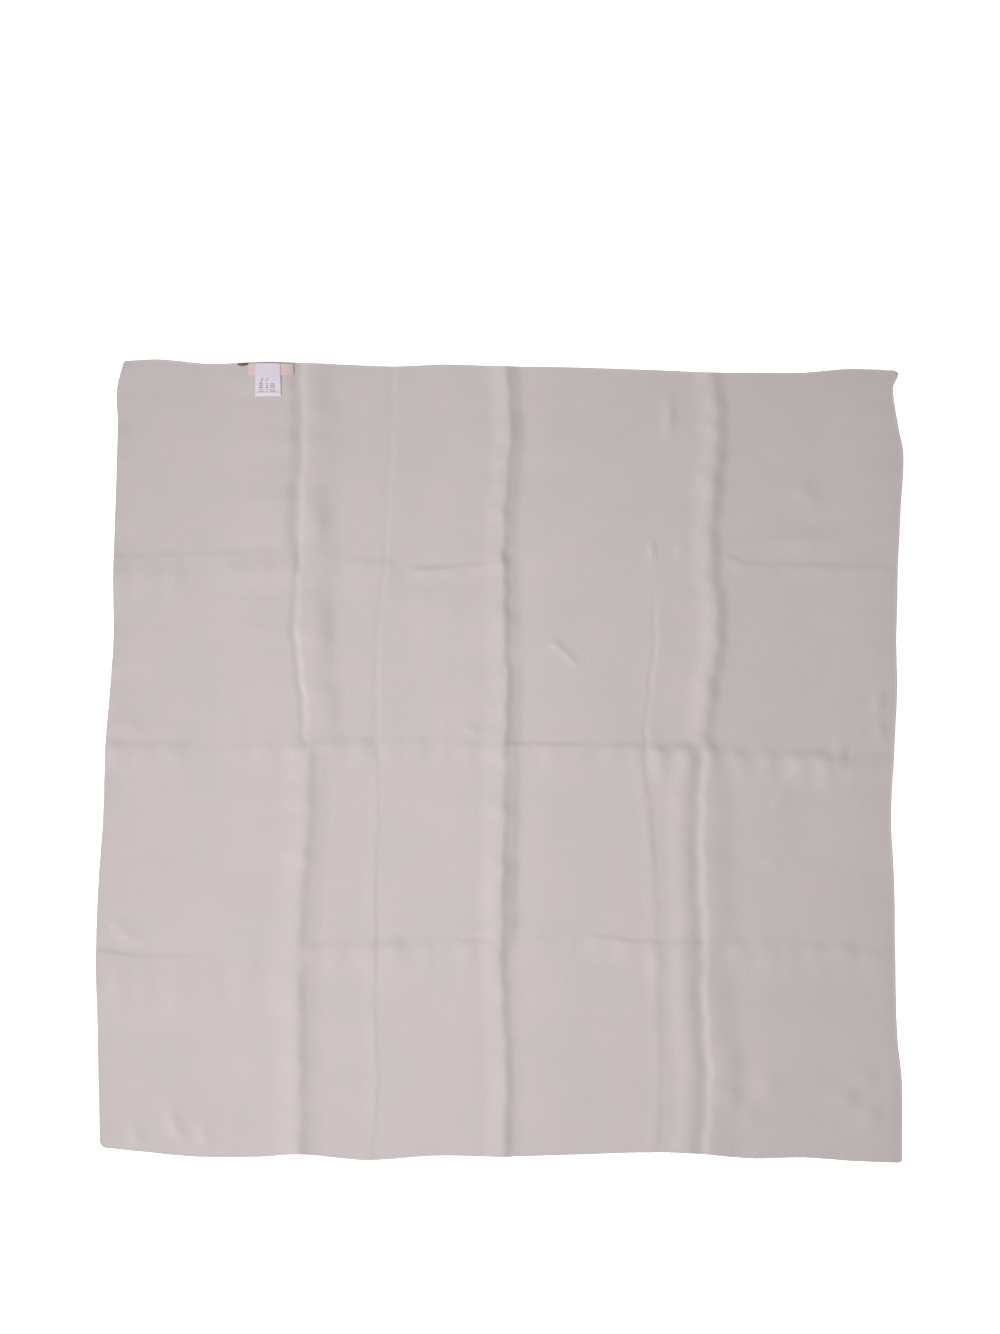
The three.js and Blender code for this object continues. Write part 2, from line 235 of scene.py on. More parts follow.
# Columns: line, start, end, flanks (each start, end, rise and lean), wander, uneven and fade.
FOLDS = rows(
    Fold,
    ("left", -END, END, ((-20, -10, 0.9), (0, 20, -0.6), (0, 120, -0.3)), 0, 0.8),
    ("left", -10, 240, ((-20, -10, 0.4), (0, 90, -0.4)), 0, 0.4),
    ("right", -END, -160, ((-80, -14, 0.3), (-14, 0, -0.3)), 0, 0.2),
    ("right", -110, END, ((-110, -4, 1.8), (6, 12, -1.8)), 0, 0.2),
    ("fold1", -END, 18, ((-110, -15, 1.0), (-40, 0, 2.4, 0.6), (0, 16, -2.3), (12, 28, -1.1)), 1.5, 0.25),
    ("fold1", 18, 245, ((-110, -6, 1.7), (-8, 0, -0.9), (0, 8, 1.5), (12, 50, -2.5), (50, 85, 0.4),
     (85, 150, -0.2)), 1.5, 0.25),
    ("fold1", 245, END, ((-110, -14, 2.8), (-15, 1, -2.1), (1, 9, 1.3), (12, 50, -2.1), (50, 85, 0.3),
     (85, 150, -0.2)), 1.5, 0.25),
    ("soft1", -END, 18, ((-14, -1, 0.35), (-1, 4, -0.45), (4, 22, 0.1)), 0.9, 0.35),
    ("soft1", 18, END, ((-5, 1, -0.3), (1, 6, 0.5), (6, 45, -0.2)), 0.9, 0.5),
    ("fold2", -END, -205, ((-90, -20, 0.5), (-25, 0, 1.8), (-2, 10, -1.8), (6, 18, -0.5),
     (18, 45, 0.3), (45, 200, -0.3)), 1.5, 0.2),
    ("fold2", -205, 20, ((-110, -20, 1.0), (-28, 0, 2.5), (-2, 10, -1.9), (7, 20, -1.6),
     (20, 48, 0.5), (48, 200, -0.5)), 1.6, 0.3),
    ("fold2", 20, 245, ((-110, -20, 1.0), (-26, 0, 2.2), (-2, 9, -2.1), (6, 19, -1.1), (17, 45, 0.5),
     (45, 200, -0.5)), 1.6, 0.25),
    ("fold2", 245, END, ((-110, -20, 0.8), (-22, 2, 2.3), (0, 10, -1.7), (7, 19, -1.4), (20, 45, 0.4),
     (45, 200, -0.4)), 1.4, 0.25),
    ("soft2", -END, -135, ((-16, -3, 0.3), (-3, 6, -0.4), (6, 30, 0.1)), 1.2, 0.5),
    ("soft2", -135, 18, ((-16, -3, 0.35), (-3, 5, -0.5), (5, 30, 0.15)), 0.9, 0.4),
    ("soft2", 18, 180, ((-9, -1, 0.1), (-1, 3, -0.35), (3, 8, 0.5), (8, 24, -0.25)), 1.4, 0.6),
    ("fold3", -END, 15, ((-140, -20, 1.1), (-39, -19, 1.2), (-16, -2, -1.3), (-1, 8, 1.0),
     (9, 46, -2.1), (44, 70, 0.3), (70, 160, -0.2)), 1.4, 0.2),
    ("fold3", 15, END, ((-90, -15, 0.5), (-26, -1, 2.0, 0.2), (-1, 16, -2.2), (12, 30, -0.3)), 1.8, 0.25),
    ("lower", -END, -345, ((-90, -30, 1.8), (-32, 0, -0.8, 0.4), (-2, 6, -1.0)), 0.9, 0.4, 60),
    ("lower", -345, -300, ((-90, -30, 1.4), (-40, 2, -1.1, 0.3), (0, 6, -0.3)), 0.9, 0.5, 60),
    ("lower", -300, -229, ((-90, -20, 1.0), (-30, 20, -1.0)), 0.9, 0.4),
    ("lower", -229, -60, ((-50, -4, 1.6), (-8, 9, -1.5), (8, 30, -0.1)), 1.4, 0.6),
    ("lower", -60, 2, ((-50, -2, 1.5), (-2, 8, -1.3), (8, 30, -0.2)), 1.2, 0.6),
    ("lower", 30, 105, ((-30, -1, 0.5), (-1, 6, -0.4), (6, 20, -0.1)), 1.6, 0.6),
    ("lower", 105, 175, ((-40, -1, 1.1), (-1, 6, -1.0), (6, 20, -0.1)), 0.9, 0.6),
    ("lower", 175, 235, ((-60, -18, 1.7), (-20, 0, -0.6, 0.3), (-2, 6, -1.1)), 1.2, 0.6),
    ("lower", 240, 330, ((-50, -4, 1.6), (-6, 14, -1.4), (10, 34, -0.2)), 1.4, 0.6),
    ("lower", 330, END, ((-40, 0, 0.8), (0, 12, -0.8)), 1.2, 0.6),
    ("middle", -END, -330, ((-40, -4, 1.0), (-5, 9, -0.7), (9, 36, -0.3)), 2.2, 1.1),
    ("middle", -330, -222, ((-40, -3, 0.7), (-3, 7, -0.5), (7, 36, -0.2)), 2.2, 1.1),
    ("middle", -222, -150, ((-40, -3, 1.2), (-3, 9, -1.0), (9, 36, -0.2)), 1.6, 1.0),
    ("middle", -150, -60, ((-40, -3, 1.1), (-4, 9, -0.9), (9, 36, -0.2)), 2.2, 1.1),
    ("middle", -60, 5, ((-40, -3, 0.7), (-3, 8, -0.5), (8, 40, -0.2)), 1.6, 1.0),
    ("middle", 5, 160, ((-50, -1, 1.2), (-1, 6, -1.0), (6, 24, -0.2)), 0.9, 0.5),
    ("middle", 160, 238, ((-50, -5, 2.2), (-7, 8, -1.9), (6, 26, -0.3)), 1.6, 0.8),
    ("middle", 240, 400, ((-50, -6, 1.8), (-10, 8, -1.6), (8, 28, -0.2)), 2.2, 0.8),
    ("middle", 400, END, ((-40, -14, 1.0), (-16, 2, -0.5, 0.3), (-2, 8, -0.5)), 0.8, 0.4),
    ("upper", -END, -360, ((-60, -18, 1.2), (-20, 0, -0.4, 0.3), (-2, 7, -0.7), (7, 40, -0.1)), 1.4, 0.7),
    ("upper", -360, -320, ((-30, -1, 0.5), (-1, 7, -0.4), (7, 40, -0.1)), 1.4, 0.6),
    ("upper", -320, -229, ((-50, -14, 1.3), (-16, 0, -0.5, 0.3), (-2, 8, -0.7), (8, 40, -0.1)), 1.4, 0.6),
    ("upper", -210, -90, ((-60, -2, 0.5), (-2, 10, -0.4), (10, 30, -0.1)), 1.6, 0.9),
    ("upper", -96, 5, ((-110, -50, 1.3), (-56, 0, -1.3, 0.5)), 1.2, 0.3, 80),
    ("upper", -96, 5, ((-20, 0, 0.9), (-1, 6, -0.9)), 1.4, 0.7),
    ("upper", 245, END, ((-20, 0, 0.6), (0, 6, -0.6)), 1.0, 0.7),
)


@dataclass(frozen=True)
class Crinkle:
    """A short crease away from the press folds: a soft ridge between two places on the table, in mm."""

    start: Pair
    end: Pair
    rise: float
    reach: float


# Columns: start, end, rise, reach.
CRINKLES = rows(
    Crinkle,
    ((56, 140), (75, 123), 1.8, 5),
    ((75, 123), (90, 108), 1.5, 5),
    ((194, 413), (193, 369), 1.5, 11),
    ((388, 26), (389, -12), 1.5, 7),
    ((173, 252), (175, 226), 0.7, 7),
    ((206, 250), (208, 232), 0.7, 7),
    ((330, -20), (312, -62), 0.9, 9),
    ((300, -112), (322, -122), 0.8, 7),
    ((-38, 42), (-24, 30), 1.2, 6),
    ((-274, 12), (-277, -2), 1.0, 6),
    ((-258, 10), (-262, -3), 0.9, 6),
    ((434, 82), (430, 50), 1.0, 9),
    ((432, 46), (436, 22), 1.0, 9),
    ((-377, -396), (-362, -434), 1.9, 11),
    ((-340, -412), (-333, -440), 1.3, 11),
    ((-417, -414), (-410, -438), 1.5, 11),
    ((-448, -180), (-418, -196), 1.2, 9),
    ((-440, -196), (-404, -204), 1.0, 8),
)


@dataclass(frozen=True)
class Swell:
    """A soft rise of the cloth off the table, in millimetres.

    Across says how far it spreads to the left and to the right, and up how far down and up the cloth.
    """

    middle: Pair
    rise: float
    across: Pair
    up: Pair


# Columns: middle, rise, across (left, right) and up (down, up).
SWELLS = rows(
    Swell,
    ((-208, 412), 0.9, (14, 10), (26, 26)),
    ((-208, 272), 1.9, (16, 11), (22, 26)),
    ((-203, 154), 2.0, (16, 11), (36, 30)),
    ((-196, 60), 1.0, (14, 10), (18, 22)),
    ((350, 250), 1.5, (40, 16), (14, 9)),
    ((376, 256), 1.0, (30, 12), (10, 8)),
    ((346, 310), 0.9, (20, 9), (8, 8)),
    ((358, 299), 0.9, (14, 8), (7, 7)),
    ((396, -216), 1.3, (24, 10), (10, 9)),
    ((266, -340), 1.1, (16, 9), (18, 14)),
    ((266, -380), 1.3, (16, 9), (12, 10)),
    ((309, -368), 1.0, (20, 10), (14, 10)),
    ((396, -382), 1.5, (24, 10), (12, 9)),
    ((420, -362), 1.2, (18, 9), (12, 10)),
    ((424, -404), 1.2, (16, 9), (12, 10)),
    ((286, -404), 1.2, (22, 10), (14, 10)),
    ((-436, 62), 1.0, (10, 16), (30, 24)),
    ((-420, 40), 0.8, (10, 9), (18, 14)),
    ((-290, -170), 1.8, (120, 70), (60, 34)),
)

# Corners are turned in by these radii, and the top right one curls out into a small ear.
CORNER_RADIUS = {"bottom_left": 7, "bottom_right": 5, "top_left": 1.5, "top_right": 4}


@dataclass(frozen=True)
class Ear:
    """The small curl at the top right corner, in millimetres."""

    at: float = 440
    out: float = 6
    spread: float = 9
    depth: float = 60


def read_column(table: tuple, column: str, place: np.ndarray) -> np.ndarray:
    """Read a smooth curve through one column of a table, at any places between its rows.

    Args:
        table: Rows with a field named at, in rising order.
        column: The field to read.
        place: Where to read it.

    Returns:
        The value at each place, carried on straight past the table's ends.
    """
    at = np.array([row.at for row in table], float)
    value = np.array([getattr(row, column) for row in table], float)
    slope = np.empty_like(value)
    slope[1:-1] = (value[2:] - value[:-2]) / (at[2:] - at[:-2])
    slope[0] = (value[1] - value[0]) / (at[1] - at[0])
    slope[-1] = (value[-1] - value[-2]) / (at[-1] - at[-2])
    i = np.clip(np.searchsorted(at, place, side="right") - 1, 0, len(at) - 2)
    step = at[i + 1] - at[i]
    t = np.clip((place - at[i]) / step, 0, 1)
    inside = value[i] + (value[i + 1] - value[i]) * t * t * (3 - 2 * t)
    inside += step * t * (1 - t) * ((1 - t) * slope[i] - t * slope[i + 1])
    before = np.minimum(place - at[0], 0) * slope[0]
    after = np.maximum(place - at[-1], 0) * slope[-1]
    return inside + before + after


def between_lines(place: np.ndarray, knots: dict[str, float], values: dict[str, np.ndarray]) -> np.ndarray:
    """Spread places on the cut evenly between the lines on each side of them.

    Args:
        place: Places on the cut.
        knots: Where each line lies on the cut, in rising order.
        values: Where each line lies on the table.

    Returns:
        Where the places lie on the table.
    """
    at = np.array(list(knots.values()), float)
    lines = np.stack([values[name] for name in knots])
    i = np.clip(np.searchsorted(at, place, side="right") - 1, 0, len(at) - 2)
    t = (place - at[i]) / (at[i + 1] - at[i])
    low = np.take_along_axis(lines, i[None], 0)[0]
    high = np.take_along_axis(lines, i[None] + 1, 0)[0]
    return low + (high - low) * t


def smooth_step(place: np.ndarray, start: float, end: float) -> np.ndarray:
    """Rise smoothly from 0 at start to 1 at end."""
    t = np.clip((place - start) / (end - start), 0, 1)
    return t * t * (3 - 2 * t)


DENSITY_SAMPLES = 400
OUTLINE_SAMPLES = 300


def graded_lines(knots: list[Pair], coarse: float, growth: float) -> np.ndarray:
    """Place grid lines through every knot, close together beside it and wider on the open cloth.

    Args:
        knots: Pairs of a place on the cut and the step between the lines beside it.
        coarse: The widest step.
        growth: How fast the step widens away from a knot.

    Returns:
        The places of the lines.
    """
    places = [np.array([knots[0][0]])]
    for (start, start_step), (end, end_step) in zip(knots, knots[1:]):
        s = np.linspace(0, end - start, DENSITY_SAMPLES)
        step = np.minimum(start_step + growth * s, end_step + growth * (s[-1] - s))
        density = 1 / np.minimum(step, coarse)
        count = np.concatenate([[0], np.cumsum((density[1:] + density[:-1]) / 2 * np.diff(s))])
        parts = max(1, math.ceil(count[-1]))
        places.append(start + np.interp(np.linspace(0, count[-1], parts + 1)[1:], count, s))
    return np.concatenate(places)


class ClothPlan:
    """The whole cloth's shape: where each place on the cut lies on the table, and how high."""

    ear: Ear = Ear()

    def __init__(self) -> None:
        """Set the plan in the part's frame, so that its panel lies where the solid one does."""
        low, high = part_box("silk_panel")
        edge = np.linspace(CAD_INSET, CUT - CAD_INSET, OUTLINE_SAMPLES)
        x, y = self.on_table(*np.meshgrid(edge, edge, indexing="ij"))
        self.shift_x = (low.x + high.x) / 2 / MM - (x.min() + x.max()) / 2
        self.shift_y = (low.y + high.y) / 2 / MM - (y.min() + y.max()) / 2

    def round_corner(self, across: np.ndarray, up: np.ndarray) -> tuple[np.ndarray, np.ndarray]:
        """Turn the square corners of the cut into round ones.

        Args:
            across: Places across the cut.
            up: Places up the cut.

        Returns:
            The places across and up, moved in at the corners.
        """
        a = across.astype(float)
        b = up.astype(float)
        for name, radius in CORNER_RADIUS.items():
            from_bottom, from_left = name.startswith("bottom"), name.endswith("left")
            s = 1 - (across if from_left else CUT - across) / radius
            t = 1 - (up if from_bottom else CUT - up) / radius
            near = (s > 0) & (t > 0)
            s, t = s[near], t[near]
            inset_a = radius * (1 - s * np.sqrt(1 - t * t / 2))
            inset_b = radius * (1 - t * np.sqrt(1 - s * s / 2))
            a[near] = inset_a if from_left else CUT - inset_a
            b[near] = inset_b if from_bottom else CUT - inset_b
        return a, b

    def on_table(self, across: np.ndarray, up: np.ndarray) -> tuple[np.ndarray, np.ndarray]:
        """Lay places on the cut down on the table.

        Args:
            across: Places across the cut, from its left edge.
            up: Places up the cut, from its bottom edge.

        Returns:
            X and Y on the table, before the plan is set in the part's frame.
        """
        a, b = self.round_corner(across, up)
        levels = {name: read_column(SECTIONS_ACROSS, name, a) for name in LEVEL_KNOTS}
        y = between_lines(b, LEVEL_KNOTS, levels)
        uprights = {name: read_column(SECTIONS_UP, name, y) for name in UPRIGHT_KNOTS}
        near_ear = np.maximum(0, 1 - (CUT - a) / self.ear.depth)
        curl = self.ear.out * near_ear**2 * np.exp(-(((y - self.ear.at) / self.ear.spread) ** 2))
        return between_lines(a, UPRIGHT_KNOTS, uprights) + curl, y

    def flank_height(self, flank: Flank, away: np.ndarray) -> np.ndarray:
        """Work out how far one flank lifts the cloth, at distances from the fold's line."""
        t = np.clip((away - flank.start) / (flank.end - flank.start), 0, 1)
        t = t ** (1 + flank.lean) if flank.lean >= 0 else 1 - (1 - t) ** (1 - flank.lean)
        return flank.rise * t * t * (3 - 2 * t)

    def fold_height(self, fold: Fold, across: np.ndarray, x: np.ndarray, y: np.ndarray) -> np.ndarray:
        """Work out the relief of one fold.

        Args:
            fold: The fold.
            across: Places across the cut.
            x: X on the table.
            y: Y on the table.

        Returns:
            The height that the fold adds at each place.
        """
        direction = Direction.UPRIGHT if fold.line in UPRIGHT_KNOTS else Direction.LEVEL
        if direction is Direction.UPRIGHT:
            away, along = x - read_column(SECTIONS_UP, fold.line, y), y
        else:
            away, along = y - read_column(SECTIONS_ACROSS, fold.line, across), x
        phase = fold.start / PHASE_ALONG + UPRIGHT_KNOTS.get(fold.line, LEVEL_PHASE) / PHASE_ACROSS
        away = away + fold.wander * add_waves(along, LINE_STRAYS, phase)
        height = sum(self.flank_height(Flank(*values), away) for values in fold.flanks)
        comes_in = smooth_step(along, fold.start - fold.fade / 2, fold.start + fold.fade / 2)
        goes_out = 1 - smooth_step(along, fold.end - fold.fade / 2, fold.end + fold.fade / 2)
        share = 1 + fold.uneven * add_waves(along, HEIGHT_CHANGES, phase)
        return height * comes_in * goes_out * np.maximum(LEAST_HEIGHT, share)

    def crinkle_height(self, crinkle: Crinkle, x: np.ndarray, y: np.ndarray) -> np.ndarray:
        """Work out the relief of one short crease.

        Args:
            crinkle: The crease.
            x: X on the table.
            y: Y on the table.

        Returns:
            The height that it adds at each place.
        """
        start, end = np.array(crinkle.start), np.array(crinkle.end)
        run = end - start
        along = ((x - start[0]) * run[0] + (y - start[1]) * run[1]) / (run @ run)
        t = np.clip(along, 0, 1)
        away = np.hypot(x - start[0] - t * run[0], y - start[1] - t * run[1])
        body = np.maximum(0, 1 - away / crinkle.reach) ** CRINKLE_FALL
        return crinkle.rise * body * (CRINKLE_ENDS + (1 - CRINKLE_ENDS) * np.sin(math.pi * t))

    def swell_height(self, swell: Swell, x: np.ndarray, y: np.ndarray) -> np.ndarray:
        """Work out one soft rise, as a bell over its middle."""
        dx, dy = x - swell.middle[0], y - swell.middle[1]
        dx = dx / np.where(dx > 0, swell.across[1], swell.across[0])
        dy = dy / np.where(dy > 0, swell.up[1], swell.up[0])
        return swell.rise * np.exp(-(dx * dx + dy * dy))

    def lift(self, across: np.ndarray, up: np.ndarray) -> np.ndarray:
        """Work out the height of the cloth's underside above the table.

        Args:
            across: Places across the cut.
            up: Places up the cut.

        Returns:
            The height at each place, in millimetres.
        """
        x, y = self.on_table(across, up)
        height = sum(self.fold_height(fold, across, x, y) for fold in FOLDS)
        height += sum(self.crinkle_height(crinkle, x, y) for crinkle in CRINKLES)
        height += sum(self.swell_height(swell, x, y) for swell in SWELLS)
        return np.maximum(height, 0)

    def points(self, across: np.ndarray, up: np.ndarray, raised: np.ndarray | float = 0) -> np.ndarray:
        """Work out points of the cloth in the part's frame.

        Args:
            across: Places across the cut.
            up: Places up the cut.
            raised: How far each point is raised off the cloth's underside.

        Returns:
            The points in metres, with X, Y and Z in the last axis.
        """
        x, y = self.on_table(across, up)
        z = self.lift(across, up) + raised
        return np.stack([x + self.shift_x, y + self.shift_y, z], axis=-1) * MM


def linear(hex_colour: str) -> tuple[float, float, float, float]:
    """Turn an sRGB hex colour into the linear RGBA that the shaders take."""
    parts = [int(hex_colour[k : k + 2], 16) / 255 for k in (1, 3, 5)]
    low_to_high = [c / 12.92 if c <= 0.04045 else ((c + 0.055) / 1.055) ** 2.4 for c in parts]
    return (*low_to_high, 1.0)


def add_node(
    tree: Tree,
    kind: str,
    settings: dict[str, object] | None = None,
    values: dict[str, object] | None = None,
    links: dict[str, Socket] | None = None,
) -> bpy.types.Node:
    """Add one node to a material.

    Args:
        tree: The material's node tree.
        kind: The node's type.
        settings: The node's own properties.
        values: Values for its input sockets, by name or number.
        links: Output sockets to link to its inputs, by name or number.

    Returns:
        The node.
    """
    node = tree.nodes.new(kind)
    for name, value in (settings or {}).items():
        setattr(node, name, value)
    for name, value in (values or {}).items():
        node.inputs[name].default_value = value
    for name, socket in (links or {}).items():
        tree.links.new(socket, node.inputs[name])
    return node


def new_material(name: str) -> tuple[Material, Tree, bpy.types.Node]:
    """Make a material that holds only its output.

    Args:
        name: The material's name.

    Returns:
        The material, its node tree and its output node.
    """
    material = bpy.data.materials.new(name)
    material.use_nodes = True
    tree = material.node_tree
    tree.nodes.clear()
    return material, tree, tree.nodes.new("ShaderNodeOutputMaterial")


# One band of the wave texture is this share of its unit wide.
WAVE_UNIT = 2 * math.pi / 20


@dataclass(frozen=True)
class SilkFinish:
    """Plain-woven light silk, degummed and pressed: a soft low sheen over a weave too fine to see.

    Real silk of this weight has about 40 threads to the centimetre. The weave is drawn at 0.8 mm, as
    coarse as a close view needs to show it, and its relief is so low that it fades out from a step away.
    """

    name: str = "light_silk_plain_woven"
    thread: str = "#C3B8B8"
    thread_deep: str = "#BFB5B5"
    roughness: float = 0.5
    gloss: float = 0.5
    sheen: float = 0.1
    weave_pitch: float = 0.8
    weave_strength: float = 0.6
    weave_depth: float = 0.1
    slub_length: float = 26
    slub_strength: float = 0.5
    slub_depth: float = 0.16
    mottle: float = 70

    def make(self) -> Material:
        """Build the material on the cloth's own flat-cut map.

        Returns:
            The material.
        """
        material, tree, output = new_material(self.name)
        cut_map = add_node(tree, "ShaderNodeUVMap", {"uv_map": "cut"}).outputs["UV"]
        mottle = add_node(
            tree, "ShaderNodeTexNoise", values={"Scale": 1 / (self.mottle * MM), "Detail": 4.0},
            links={"Vector": cut_map},
        )
        tone = add_node(
            tree, "ShaderNodeMapRange", values={"From Min": 0.3, "From Max": 0.7},
            links={"Value": mottle.outputs["Fac"]},
        )
        colour = add_node(
            tree, "ShaderNodeMix", {"data_type": "RGBA"},
            {6: linear(self.thread_deep), 7: linear(self.thread)}, {"Factor": tone.outputs["Result"]},
        )
        slubs = [self.slub(tree, cut_map, turn) for turn in (False, True)]
        slub_sum = add_node(
            tree, "ShaderNodeMath", {"operation": "ADD"}, links={0: slubs[0], 1: slubs[1]}
        )
        threads = [self.threads(tree, cut_map, axis) for axis in ("X", "Y")]
        weave = add_node(
            tree, "ShaderNodeMath", {"operation": "MULTIPLY"}, links={0: threads[0], 1: threads[1]}
        )
        slub_bump = add_node(
            tree, "ShaderNodeBump",
            values={"Strength": self.slub_strength, "Distance": self.slub_depth * MM},
            links={"Height": slub_sum.outputs["Value"]},
        )
        weave_bump = add_node(
            tree, "ShaderNodeBump",
            values={"Strength": self.weave_strength, "Distance": self.weave_depth * MM},
            links={"Height": weave.outputs["Value"], "Normal": slub_bump.outputs["Normal"]},
        )
        shader = add_node(
            tree, "ShaderNodeBsdfPrincipled",
            values={
                "Roughness": self.roughness, "Specular IOR Level": self.gloss,
                "Sheen Weight": self.sheen, "Sheen Roughness": 0.4,
            },
            links={"Base Color": colour.outputs[2], "Normal": weave_bump.outputs["Normal"]},
        )
        tree.links.new(shader.outputs["BSDF"], output.inputs["Surface"])
        return material

    def slub(self, tree: Tree, cut_map: Socket, turn: bool) -> Socket:
        """Draw the long thin unevenness of the threads that run one way.

        Args:
            tree: The material's node tree.
            cut_map: The flat-cut map.
            turn: True for the threads that run up the cloth.

        Returns:
            The height.
        """
        long, short = 1 / (self.slub_length * MM), 1 / (2 * self.weave_pitch * MM)
        scale = (short, long, 1) if turn else (long, short, 1)
        stretched = add_node(tree, "ShaderNodeMapping", values={"Scale": scale}, links={"Vector": cut_map})
        noise = add_node(
            tree, "ShaderNodeTexNoise", values={"Scale": 1.0, "Detail": 2.0},
            links={"Vector": stretched.outputs[0]},
        )
        return noise.outputs["Fac"]

    def threads(self, tree: Tree, cut_map: Socket, axis: str) -> Socket:
        """Draw the threads that lie side by side along one axis of the cut.

        Args:
            tree: The material's node tree.
            cut_map: The flat-cut map.
            axis: X or Y.

        Returns:
            The height.
        """
        wave = add_node(
            tree, "ShaderNodeTexWave", {"bands_direction": axis},
            {"Scale": WAVE_UNIT / (self.weave_pitch * MM), "Distortion": 0.0, "Detail": 0.0},
            {"Vector": cut_map},
        )
        return wave.outputs["Fac"]


@dataclass(frozen=True)
class PlainFinish:
    """A small sewn-on piece's finish: one yarn colour with a deeper one in its weave.

    The name says what the piece is and how it was made. The weave is drawn at its pitch in mm.
    """

    name: str
    colour: str
    colour_deep: str
    roughness: float
    pitch: float
    depth: float
    ink: str = ""

    def make(self) -> Material:
        """Build the material on the piece's own flat map.

        Returns:
            The material.
        """
        material, tree, output = new_material(self.name)
        cut_map = add_node(tree, "ShaderNodeUVMap", {"uv_map": "cut"}).outputs["UV"]
        ribs = add_node(
            tree, "ShaderNodeTexWave", {"bands_direction": "X"},
            {"Scale": WAVE_UNIT / (self.pitch * MM), "Distortion": 0.4, "Detail": 1.0},
            {"Vector": cut_map},
        )
        colour = add_node(
            tree, "ShaderNodeMix", {"data_type": "RGBA"},
            {6: linear(self.colour_deep), 7: linear(self.colour)}, {"Factor": ribs.outputs["Fac"]},
        )
        if self.ink:
            printed = add_node(tree, "ShaderNodeAttribute", {"attribute_name": "ink"})
            colour = add_node(
                tree, "ShaderNodeMix", {"data_type": "RGBA"}, {7: linear(self.ink)},
                {6: colour.outputs[2], "Factor": printed.outputs["Fac"]},
            )
        bump = add_node(
            tree, "ShaderNodeBump", values={"Strength": 0.5, "Distance": self.depth * MM},
            links={"Height": ribs.outputs["Fac"]},
        )
        shader = add_node(
            tree, "ShaderNodeBsdfPrincipled", values={"Roughness": self.roughness},
            links={"Base Color": colour.outputs[2], "Normal": bump.outputs["Normal"]},
        )
        tree.links.new(shader.outputs["BSDF"], output.inputs["Surface"])
        return material


def deselect_all() -> None:
    """Leave nothing selected and nothing active."""
    for obj in bpy.context.selected_objects:
        obj.select_set(False)
    bpy.context.view_layer.objects.active = None


def make_active(obj: Piece) -> None:
    """Select one object alone and make it active."""
    deselect_all()
    obj.select_set(True)
    bpy.context.view_layer.objects.active = obj


@dataclass
class ClothGrid:
    """A rectangle of points that becomes a mesh, with a map of its flat cut in metres.

    Points has the columns, the rows and then X, Y and Z in metres as its last axes, and flat has the
    places on the cut in millimetres. Further axes before these hold rectangles that are joined as one
    piece. Around closes each column into a ring.
    """

    name: str
    points: np.ndarray
    flat: np.ndarray
    around: bool = False

    def build(self, material: Material) -> Piece:
        """Make the mesh, smooth all over.

        Args:
            material: The finish.

        Returns:
            The object, at the origin.
        """
        shape = self.points.shape[:-1]
        index = np.arange(math.prod(shape)).reshape(shape)
        here = index if self.around else index[..., :-1]
        beyond = np.roll(index, -1, axis=-1) if self.around else index[..., 1:]
        corners = [here[..., :-1, :], here[..., 1:, :], beyond[..., 1:, :], beyond[..., :-1, :]]
        mesh = bpy.data.meshes.new(self.name)
        faces = np.stack(corners, axis=-1).reshape(-1, 4)
        mesh.from_pydata(self.points.reshape(-1, 3).tolist(), [], faces.tolist())
        layer = mesh.uv_layers.new(name="cut")
        corner_vertex = np.empty(len(mesh.loops), np.int32)
        mesh.loops.foreach_get("vertex_index", corner_vertex)
        layer.data.foreach_set("uv", (self.flat.reshape(-1, 2)[corner_vertex] * MM).ravel())
        mesh.polygons.foreach_set("use_smooth", np.ones(len(mesh.polygons), bool))
        mesh.materials.append(material)
        obj = bpy.data.objects.new(self.name, mesh)
        bpy.context.collection.objects.link(obj)
        return obj


def close_ends(obj: Piece) -> None:
    """Fill the open ends of a piece and turn its faces outwards."""
    make_active(obj)
    bpy.ops.object.mode_set(mode="EDIT")
    bpy.ops.mesh.select_all(action="DESELECT")
    bpy.ops.mesh.select_mode(type="EDGE")
    bpy.ops.mesh.select_non_manifold()
    bpy.ops.mesh.edge_face_add()
    bpy.ops.mesh.select_all(action="SELECT")
    bpy.ops.mesh.normals_make_consistent(inside=False)
    bpy.ops.object.mode_set(mode="OBJECT")


def thicken(obj: Piece, thickness: float) -> None:
    """Give a sheet its thickness, up from its underside.

    Args:
        obj: The sheet, with its faces pointing up.
        thickness: In millimetres.
    """
    make_active(obj)
    solid = obj.modifiers.new("thickness", "SOLIDIFY")
    solid.thickness = thickness * MM
    solid.offset = 1
    solid.use_even_offset = False
    bpy.ops.object.modifier_apply(modifier=solid.name)


